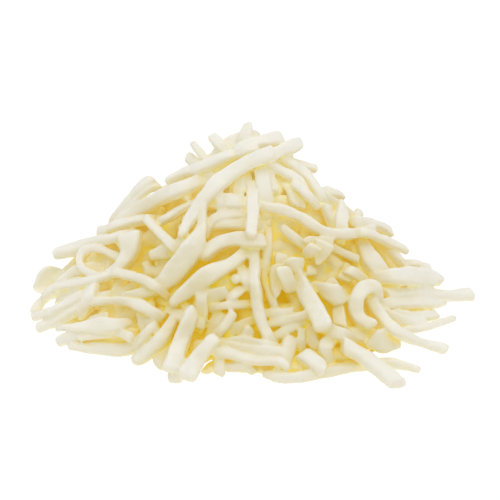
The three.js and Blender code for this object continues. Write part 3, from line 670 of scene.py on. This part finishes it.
def inner_shreds():
    """Shreds laid on the core, the longest first, as long as they stay under the mound's surface"""
    draws = np.random.default_rng(INNER_SEED)
    laid = Laid()
    kept = []
    for i in range(INNER_DRAWS):
        course = anywhere(draws)
        length = np.interp(i / INNER_DRAWS, (0, 1), INNER_LENGTHS[::-1]) * draws.uniform(*INNER_LENGTH_SPREAD)
        width = draws.uniform(*INNER_WIDTHS)
        x, y = over_the_mound(*course, length, INNER_STEP).T
        widths = np.full(len(x), width)
        half = thickness_of(widths) / 2
        height = mound_height(x, y)
        normals = mound_normal(x, y)
        depth = np.minimum(CORE_DEPTH - half, (height - half) / normals[:, 2])
        room = depth - half - INNER_TOP
        if room.min() < 0:
            continue
        feet = np.stack([x, y, height], axis=-1) - normals * depth[:, None]
        lowest = np.maximum(laid.rise_over(feet, normals, widths), 0)
        if (lowest > room).any():
            continue
        rise = settle(lowest)
        at = feet + normals * rise[:, None]
        if (rise > room).any() or stands_out(at, widths):
            continue
        laid.add(at, widths)
        kept.append((at, normals, widths))
    return kept


def under_shreds():
    """Short shreds close under the skin, in every direction, that leave the deep gaps open"""
    draws = np.random.default_rng(UNDER_SEED)
    kept = []
    for _ in range(UNDER_DRAWS):
        middle, heading, bend = anywhere(draws)
        length = draws.uniform(*UNDER_LENGTHS)
        width = draws.uniform(*UNDER_WIDTHS)
        depths = draws.uniform(*UNDER_DEPTHS, 2) * (FAR_DEPTH if middle[1] > 0 else 1)
        x, y = over_the_mound(middle, heading, bend, length, INNER_STEP).T
        widths = np.full(len(x), width)
        normals = mound_normal(x, y)
        at = np.stack([x, y, mound_height(x, y)], axis=-1)
        at -= normals * np.linspace(*depths, len(x))[:, None]
        at[:, 2] = np.maximum(at[:, 2], thickness_of(widths) / 2)
        apart = np.linalg.norm(in_view(at)[:, None] - DEEP_GAPS[:, :2], axis=-1)
        clear = y.mean() > 0 or (apart > DEEP_GAPS[:, 2] + width / 2).all()
        if clear and not stands_out(at, widths):
            kept.append((at, normals, widths))
    return kept


def front_shreds(layer):
    """Each shred's code and points, from the lines of a layer"""
    for line in layer.strip().replace("\n ", " ").splitlines():
        _, code, *numbers = line.replace(",", " ").split()
        yield code, np.array(numbers, dtype=float).reshape(-1, 3)


# Meshes
def smoothed(values, passes):
    for _ in range(passes):
        inner = (values[:-2] + 2 * values[1:-1] + values[2:]) / 4
        values = np.concatenate([values[:1], inner, values[-1:]])
    return values


def waves(draws, length, shortest, longest, count):
    """A smooth random course along a shred, between about -1 and 1"""
    lengths = draws.uniform(shortest, longest, count)
    phases = draws.uniform(0, TAU, count)
    return np.sin(TAU * length[:, None] / lengths + phases).mean(axis=1) * math.sqrt(2)


def tucked(at, facing, width):
    """A middle line with its last end led on, down under what covers it"""
    turn = np.linspace(0, TUCK_TURN, TUCK_STEPS + 1)[1:, None]
    onwards = unit(at[-1] - at[-3])
    beyond = at[-1] + onwards * TUCK_LENGTH * np.sin(turn) - facing[-1] * TUCK_DEPTH * (1 - np.cos(turn))
    at = np.concatenate([at, beyond])
    facing = np.concatenate([facing, np.repeat(facing[-1:], TUCK_STEPS, axis=0)])
    return at, facing, np.concatenate([width, np.repeat(width[-1:], TUCK_STEPS)])


def with_tucks(at, facing, width, code):
    if code[1] == "t":
        at, facing, width = tucked(at, facing, width)
    if code[0] == "t":
        at, facing, width = (values[::-1] for values in tucked(at[::-1], facing[::-1], width[::-1]))
    return at, facing, width


def shred_rings(at, facing, width, code, draws, sides, spacing):
    """The rings of a shred's skin, and a point for each end"""
    flake = "f" in code
    at, facing, width = with_tucks(at, facing, width, code)
    at = smoothed(at, LINE_SMOOTHING)
    run = np.concatenate([[0], np.cumsum(np.linalg.norm(np.diff(at, axis=0), axis=1))])
    total = run[-1]
    shapes = np.array([END_SHAPES[end] for end in code[:2]])
    caps = shapes[:, 0] * draws.uniform(*END_LENGTH_SPREAD, 2)
    caps = np.minimum(width[[0, -1]] * caps, total / ENDS_IN_LENGTH)
    bluntness = shapes[:, 1] * draws.uniform(*END_BLUNTNESS_SPREAD, 2)
    slants = draws.uniform(-MOST_SLANT, MOST_SLANT, 2)
    quarter = np.arange(1, END_RINGS) / END_RINGS * math.pi / 2
    start = caps[0] * (1 - np.cos(quarter))
    end = total - caps[1] * (1 - np.cos(quarter[::-1]))
    between = max(round((total - caps.sum()) / spacing), 2)
    rings = np.concatenate([start, np.linspace(caps[0], total - caps[1], between + 1), end])

    def along(values):
        return np.stack([np.interp(rings, run, column) for column in values.T], axis=-1)

    centre = along(at)
    tangent = unit(np.gradient(centre, rings, axis=0))
    widths = np.interp(rings, run, width) * (1 + UNEVENNESS * waves(draws, rings, *WIDTH_WAVES))
    sideways = unit(np.cross(tangent, along(facing)))
    outwards = np.cross(sideways, tangent)
    roll = draws.uniform(-MOST_ROLL, MOST_ROLL) + TWIST * waves(draws, rings, *TWIST_WAVES)
    cosine, sine = np.cos(roll)[:, None], np.sin(roll)[:, None]
    sideways, outwards = cosine * sideways + sine * outwards, cosine * outwards - sine * sideways

    scale = np.ones(len(rings))
    for distance, cap, power in ((rings, caps[0], bluntness[0]), (total - rings, caps[1], bluntness[1])):
        scale *= (1 - np.clip(1 - distance / cap, 0, 1) ** power) ** (1 / power)
    squareness = 2 / draws.uniform(*(FLAKE_SQUARENESS if flake else SQUARENESS))
    thickness = thickness_of(widths) * (FLAKE_THICKNESS if flake else 1)
    angles = TAU * (np.arange(sides) + 0.5) / sides
    across = np.sign(np.cos(angles)) * np.abs(np.cos(angles)) ** squareness
    above = np.sign(np.sin(angles)) * np.abs(np.sin(angles)) ** squareness
    around = np.stack([np.ones(sides), np.cos(angles), np.sin(angles), np.cos(2 * angles)])
    lumps = np.stack([waves(draws, rings, *LUMP_WAVES) for _ in around], axis=1)
    bumps = 1 + LUMPINESS * lumps @ around
    half_width = (widths * scale / 2)[:, None] * across * bumps
    half_thickness = (thickness * scale / 2)[:, None] * above * bumps
    slant = slants[0] * np.clip(1 - rings / (SLANT_REACH * width[0]), 0, 1) ** 2
    slant -= slants[1] * np.clip(1 - (total - rings) / (SLANT_REACH * width[-1]), 0, 1) ** 2
    points = centre[:, None] + half_width[..., None] * sideways[:, None]
    points += half_thickness[..., None] * outwards[:, None]
    points += (half_width * slant[:, None])[..., None] * tangent[:, None]
    return points, at[[0, -1]]


def faces_of(rings, start):
    """The quads between a surface's rings, and the triangles that close it to a first and a last point"""
    rows, sides = rings.shape[:2]
    index = start + np.arange(rows * sides).reshape(rows, sides)
    beside = np.roll(index, -1, axis=1)
    quads = np.stack([index[:-1], index[1:], beside[1:], beside[:-1]], axis=-1).reshape(-1, 4)
    first, last = start + rows * sides, start + rows * sides + 1
    triangles = [(first, a, b) for a, b in zip(index[0], beside[0])]
    return quads.tolist(), triangles + [(last, b, a) for a, b in zip(index[-1], beside[-1])]


class Skin:
    """Vertices and faces of one skin, gathered shred by shred"""

    def __init__(self, seed, sides, spacing):
        self.draws = np.random.default_rng(seed)
        self.sides = sides
        self.spacing = spacing
        self.vertices = []
        self.quads = []
        self.triangles = []
        self.count = 0

    def add(self, at, facing, width, code="rr"):
        rings, tips = shred_rings(at, facing, width, code, self.draws, self.sides, self.spacing)
        quads, triangles = faces_of(rings, self.count)
        vertices = np.concatenate([rings.reshape(-1, 3), tips])
        vertices[:, 2] = np.maximum(vertices[:, 2], 0)
        self.vertices.append(vertices)
        self.quads += quads
        self.triangles += triangles
        self.count += len(vertices)

    def fused(self, cell):
        return fused(np.concatenate(self.vertices), self.quads + self.triangles, cell)


def fused(vertices, faces, cell):
    """The outer skin of what sticks together, over a grid of cells, with the contacts filled softly"""
    mesh = bpy.data.meshes.new("loose")
    mesh.from_pydata(vertices.tolist(), [], faces)
    loose = bpy.data.objects.new("loose", mesh)
    bpy.context.scene.collection.objects.link(loose)
    grid = loose.modifiers.new("fuse", "REMESH")
    grid.mode = "VOXEL"
    grid.voxel_size = cell
    skin = bpy.data.meshes.new_from_object(loose.evaluated_get(bpy.context.evaluated_depsgraph_get()))
    bpy.data.objects.remove(loose)
    places = np.empty(len(skin.vertices) * 3)
    skin.vertices.foreach_get("co", places)
    corners = np.empty(len(skin.loops), dtype=np.int64)
    skin.loops.foreach_get("vertex_index", corners)
    for made in (mesh, skin):
        bpy.data.meshes.remove(made)
    quads = corners.reshape(-1, 4)
    places = smooth_over_mesh(quads, places.reshape(-1, 3), SOFTENING)
    places += vertex_normals(places, quads) * (SWELLING * cell + uneven(places))[:, None]
    places[:, 2] = np.maximum(places[:, 2], 0)
    return places, quads


def uneven(places):
    """Small swells and hollows all over, in millimetres"""
    draws = np.random.default_rng(SWELLS_SEED)
    rise = np.zeros(len(places))
    for _ in range(SWELLS):
        direction = unit(draws.normal(size=3))
        rise += np.sin(places @ direction * TAU / draws.uniform(*SWELL_LENGTHS) + draws.uniform(0, TAU))
    return rise * SWELL_HEIGHT / math.sqrt(SWELLS)


def vertex_normals(places, quads):
    diagonals = places[quads[:, 2]] - places[quads[:, 0]], places[quads[:, 3]] - places[quads[:, 1]]
    across = np.cross(*diagonals)
    return unit(gathered(quads.ravel(), np.repeat(across, 4, axis=0), len(places)))


def gathered(indices, values, count):
    """The sum of the values at each index"""
    if values.ndim == 1:
        return np.bincount(indices, values, count)
    return np.stack([np.bincount(indices, column, count) for column in values.T], axis=-1)


def smooth_over_mesh(quads, values, passes):
    """Each vertex's value, averaged again and again with those beside it"""
    ends = np.concatenate([quads.ravel(), np.roll(quads, 1, axis=1).ravel()])
    others = np.concatenate([np.roll(quads, 1, axis=1).ravel(), quads.ravel()])
    count = np.bincount(ends, minlength=len(values))
    count = count[:, None] if values.ndim > 1 else count
    for _ in range(passes):
        values = (values + 2 * gathered(ends, values[others], len(values)) / count) / 3
    return values


def hollowness(places, quads, normals):
    """0 to 1 for how sharply the skin is hollowed, as where two shreds touch"""
    around = smooth_over_mesh(quads, places, HOLLOW_PASSES)
    return np.clip(np.einsum("ij,ij->i", around - places, normals) / FULL_HOLLOW, 0, 1)


def core():
    """The heap's inside, a lumpy mound under the inner shreds"""
    bearings = np.arange(CORE_SECTORS) / CORE_SECTORS * TAU
    shares = (np.arange(CORE_RINGS) + 0.5) / CORE_RINGS
    bearing, share = np.meshgrid(bearings, shares)
    radius = share * foot_radius(bearing)
    x, y = radius * np.cos(bearing), radius * np.sin(bearing)
    surface = np.stack([x, y, mound_height(x, y)], axis=-1)
    by_x, by_y, by_z = CORE_LUMP_SIZES
    lumps = np.sin(x / by_x) * np.sin(y / by_y + surface[..., 2] / by_z)
    points = surface - mound_normal(x, y) * (CORE_DEPTH + CORE_LUMPS * lumps)[..., None]
    points[..., 2] = np.maximum(points[..., 2], 0)
    quads, triangles = faces_of(points, 0)
    vertices = np.concatenate([points.reshape(-1, 3), [points[0].mean(axis=0), (0, 0, 0)]])
    return fused(vertices, quads + triangles, CORE_CELL)


def new_piece(name, places, quads, normals, values):
    used, corners = np.unique(quads, return_inverse=True)
    mesh = bpy.data.meshes.new(name)
    mesh.from_pydata(((places[used] + MOUND_AXIS) * MILLIMETRE).tolist(), [], corners.reshape(-1, 4).tolist())
    mesh.shade_smooth()
    mesh.normals_split_custom_set_from_vertices(normals[used].tolist())
    for label, value in values.items():
        mesh.attributes.new(label, "FLOAT", "POINT").data.foreach_set("value", value[used])
    piece = bpy.data.objects.new(name, mesh)
    bpy.context.scene.collection.objects.link(piece)
    return piece


# Light that reaches each place, which tells ivory outer faces from golden gaps
def light_directions():
    """Directions spread evenly over the sphere"""
    index = np.arange(LIGHT_DIRECTIONS) + 0.5
    height = 1 - 2 * index / LIGHT_DIRECTIONS
    bearing = index * TAU / GOLDEN_RATIO**2
    level = np.sqrt(1 - height**2)
    return np.stack([level * np.cos(bearing), level * np.sin(bearing), height], axis=-1)


def openness(places, normals):
    """0 to 1 for how much of the light from all round reaches each place"""
    places = places + normals * OFF_SKIN
    total = np.zeros(len(places))
    for direction in light_directions():
        if direction[2] < LOWEST_FROM_TABLE:
            continue
        strength = TABLE_LIGHT if direction[2] < 0 else 1
        side = unit(np.cross(direction, [0, 1, 0] if abs(direction[1]) < NEARLY_ALONG else [1, 0, 0]))
        other = np.cross(direction, side)
        plan = np.floor(places @ np.stack([side, other], axis=-1) / SHADOW_CELL).astype(np.int64)
        plan -= plan.min(axis=0)
        cell = plan[:, 0] * (plan[:, 1].max() + 1) + plan[:, 1]
        ahead = places @ direction
        front = np.full(cell.max() + 1, -np.inf)
        np.maximum.at(front, cell, ahead)
        lit = ahead > front[cell] - SHADOW_BIAS
        total += strength * lit * np.maximum(normals @ direction, 0)
    on_open_face = LIGHT_DIRECTIONS / 4
    return total / on_open_face


def thinness(places):
    """0 to 1 for how thin the heap is at each place, as at its foot, its peak and its two ends"""
    x, y, z = places.T
    share = np.hypot(x, y) / foot_radius(np.arctan2(y, x))
    thick = np.ones(len(places))
    for values, (thickest, thinnest) in ((share, FOOT_SHARES), (z, PEAK_HEIGHTS), (np.abs(x), END_PLACES)):
        thin = np.clip((values - thickest) / (thinnest - thickest), 0, 1)
        thick *= 1 - thin**2 * (3 - 2 * thin)
    return 1 - thick


# Materials
def linear(red, green, blue):
    """A colour of 0 to 255 a channel, as a shader takes it"""
    channels = [value / 255 for value in (red, green, blue)]
    return [c / 12.92 if c <= 0.04045 else ((c + 0.055) / 1.055) ** 2.4 for c in channels] + [1]


def new_material(name, settings):
    material = bpy.data.materials.new(name)
    material.use_nodes = True
    shader = material.node_tree.nodes["Principled BSDF"]
    for label, value in settings.items():
        shader.inputs[label].default_value = value
    return material, material.node_tree, shader


def cheese_material():
    material, tree, shader = new_material("mozzarella", {
        "Roughness": ROUGHNESS,
        "Specular IOR Level": SPECULAR,
        "Subsurface Weight": SUBSURFACE,
        "Subsurface Radius": SUBSURFACE_RADIUS,
        "Subsurface Scale": SUBSURFACE_SCALE,
    })
    link = tree.links.new

    def attribute(name):
        made = tree.nodes.new("ShaderNodeAttribute")
        made.attribute_name = name
        return made.outputs["Fac"]

    open_to_light = attribute("openness")
    thin = attribute("thinness")

    def ramp(stops):
        made = tree.nodes.new("ShaderNodeValToRGB")
        elements = made.color_ramp.elements
        for place, colour in stops:
            stop = elements.new(place) if place not in (0, 1) else elements[0 if place == 0 else -1]
            stop.color = linear(*colour)
        link(open_to_light, made.inputs["Fac"])
        return made.outputs["Color"]

    def by_thinness(thick_value, thin_value):
        made = tree.nodes.new("ShaderNodeMapRange")
        made.inputs["To Min"].default_value = thick_value
        made.inputs["To Max"].default_value = thin_value
        link(thin, made.inputs["Value"])
        return made.outputs["Result"]

    def mixed(thick_colour, thin_colour):
        made = tree.nodes.new("ShaderNodeMix")
        made.data_type = "RGBA"
        link(thin, made.inputs["Factor"])
        for socket, colour in ((made.inputs[6], thick_colour), (made.inputs[7], thin_colour)):
            if isinstance(colour, tuple):
                socket.default_value = colour
            else:
                link(colour, socket)
        return made.outputs[2]

    # Painted shade: base colour golden where little light reaches, paler where the heap is thin
    link(mixed(ramp(RAMP), ramp(THIN_RAMP)), shader.inputs["Base Color"])
    # Painted glow: emission in the narrowest gaps, fading out as the openness rises
    link(mixed(GAP_GLOW, THIN_GLOW), shader.inputs["Emission Color"])
    glow = tree.nodes.new("ShaderNodeMapRange")
    link(open_to_light, glow.inputs["Value"])
    link(by_thinness(GLOW_TO, THIN_GLOW_TO), glow.inputs["From Max"])
    link(by_thinness(GLOW_STRENGTH, THIN_GLOW_STRENGTH), glow.inputs["To Min"])
    glow.inputs["To Max"].default_value = 0
    link(glow.outputs["Result"], shader.inputs["Emission Strength"])
    place = tree.nodes.new("ShaderNodeTexCoord")
    grain = tree.nodes.new("ShaderNodeTexNoise")
    grain.inputs["Scale"].default_value = GRAIN_SCALE
    grain.inputs["Detail"].default_value = GRAIN_DETAIL
    bump = tree.nodes.new("ShaderNodeBump")
    bump.inputs["Strength"].default_value = GRAIN_STRENGTH
    bump.inputs["Distance"].default_value = GRAIN_HEIGHT
    link(place.outputs["Object"], grain.inputs["Vector"])
    link(grain.outputs["Fac"], bump.inputs["Height"])
    link(bump.outputs["Normal"], shader.inputs["Normal"])
    return material


# The studio
def add_floor():
    mesh = bpy.data.meshes.new("floor")
    far = FLOOR_HALF
    mesh.from_pydata([(-far, -far, 0), (far, -far, 0), (far, far, 0), (-far, far, 0)], [], [(0, 1, 2, 3)])
    floor = bpy.data.objects.new("floor", mesh)
    bpy.context.scene.collection.objects.link(floor)
    material, _, _ = new_material("table", {
        "Base Color": (FLOOR_GREY, FLOOR_GREY, FLOOR_GREY, 1),
        "Roughness": FLOOR_ROUGHNESS,
        "Emission Color": (1, 1, 1, 1),
        "Emission Strength": FLOOR_LIGHT,
    })
    floor.data.materials.append(material)
    floor.location.z = -FLOOR_DEPTH
    floor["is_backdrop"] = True


def turned_to(place, aim):
    return (Vector(aim) - place).to_track_quat("-Z", "Y").to_euler()


def add_camera():
    camera = bpy.data.objects.new("camera", bpy.data.cameras.new("camera"))
    camera.data.lens = LENS
    camera.data.sensor_width = SENSOR
    camera.data.clip_start = NEAREST_SEEN
    camera.location = (MOUND_AXIS + EYE) * MILLIMETRE
    camera.rotation_euler = turned_to(camera.location, (MOUND_AXIS + [0, 0, AIM_HEIGHT]) * MILLIMETRE)
    bpy.context.scene.collection.objects.link(camera)
    bpy.context.scene.camera = camera


def add_lights():
    """A white sky, brighter overhead, and a soft lamp over the heap"""
    world = bpy.data.worlds.new("studio")
    world.use_nodes = True
    tree = world.node_tree
    background = tree.nodes["Background"]
    place = tree.nodes.new("ShaderNodeTexCoord")
    split = tree.nodes.new("ShaderNodeSeparateXYZ")
    strength = tree.nodes.new("ShaderNodeMapRange")
    strength.inputs["To Min"].default_value = HORIZON_LIGHT
    strength.inputs["To Max"].default_value = ZENITH_LIGHT
    tree.links.new(place.outputs["Generated"], split.inputs["Vector"])
    tree.links.new(split.outputs["Z"], strength.inputs["Value"])
    tree.links.new(strength.outputs["Result"], background.inputs["Strength"])
    background.inputs["Color"].default_value = (1, 1, 1, 1)
    scene = bpy.context.scene
    scene.world = world
    lamp = bpy.data.lights.new("over", "AREA")
    lamp.shape = "DISK"
    lamp.size = LAMP_SIZE
    lamp.energy = LAMP_POWER
    holder = bpy.data.objects.new("over", lamp)
    holder.location = LAMP_PLACE
    holder.rotation_euler = turned_to(holder.location, LAMP_AIM)
    scene.collection.objects.link(holder)
    scene.view_settings.view_transform = "Standard"
    scene.cycles.max_bounces = BOUNCES
    scene.cycles.diffuse_bounces = BOUNCES


# The heap
def fused_skins():
    """Every skin's vertices and quads, by name"""
    front = Skin(FRONT_SEED, SIDES, RING_SPACING)
    back = Skin(BACK_SEED, SIDES, RING_SPACING)
    inner = Skin(INNER_SEED, INNER_SIDES, INNER_RING_SPACING)
    under = Skin(UNDER_SEED, INNER_SIDES, INNER_RING_SPACING)
    laid = Laid()
    for shred in far_shreds():
        at, facing, width = laid_by_rule(*shred, laid)
        laid.add(at, width)
        part = under_skyline(at, facing, width)
        if len(part[0]) > FEWEST_STEPS:
            back.add(*part)
    for layer in (FIRST_LAID, THEN_LAID, LAST_LAID):
        for code, route in front_shreds(layer):
            at, facing, width = laid_in_view(route, laid)
            laid.add(at, width)
            front.add(at, unit(EYE - at) if "e" in code else facing, width, code)
    for shred in inner_shreds():
        inner.add(*shred)
    for shred in under_shreds():
        under.add(*shred)
    return {
        "front_shreds": front.fused(FRONT_CELL),
        "back_shreds": back.fused(BACK_CELL),
        "small_shreds": under.fused(UNDER_CELL),
        "inner_shreds": inner.fused(INNER_CELL),
        "heap_core": core(),
    }


def add_heap():
    """The heap's pieces, the skin in front in three parts"""
    skins = fused_skins()
    everywhere = np.concatenate([places for places, _ in skins.values()])
    normals = {name: vertex_normals(places, quads) for name, (places, quads) in skins.items()}
    opennesses = openness(everywhere, np.concatenate(list(normals.values())))
    pieces = []
    start = 0
    for name, (places, quads) in skins.items():
        near = smooth_over_mesh(quads, opennesses[start:start + len(places)], NEAR_PASSES)
        start += len(places)
        wide = smooth_over_mesh(quads, near, WIDE_PASSES)
        light = (1 - WIDE_SHARE) * near + WIDE_SHARE * wide
        shade = CREASE_SHADE * hollowness(places, quads, normals[name])
        values = {"openness": light - shade, "thinness": thinness(places)}
        parts = {name: quads}
        if name == "front_shreds":
            third = np.digitize(places[quads, 0].mean(axis=1), THIRDS)
            sides = ("left", "middle", "right")
            parts = {f"{name}_{side}": quads[third == i] for i, side in enumerate(sides)}
        pieces += [new_piece(part, places, faces, normals[name], values) for part, faces in parts.items()]
    return pieces


add_camera()
add_lights()
add_floor()
cheese = cheese_material()
for piece in add_heap():
    piece.data.materials.append(cheese)
    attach(piece, "root")
    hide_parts(NODE)

boxes = {"cad": cad_box, "visual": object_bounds()}
{name: [list(corner) for corner in box] for name, box in boxes.items()}
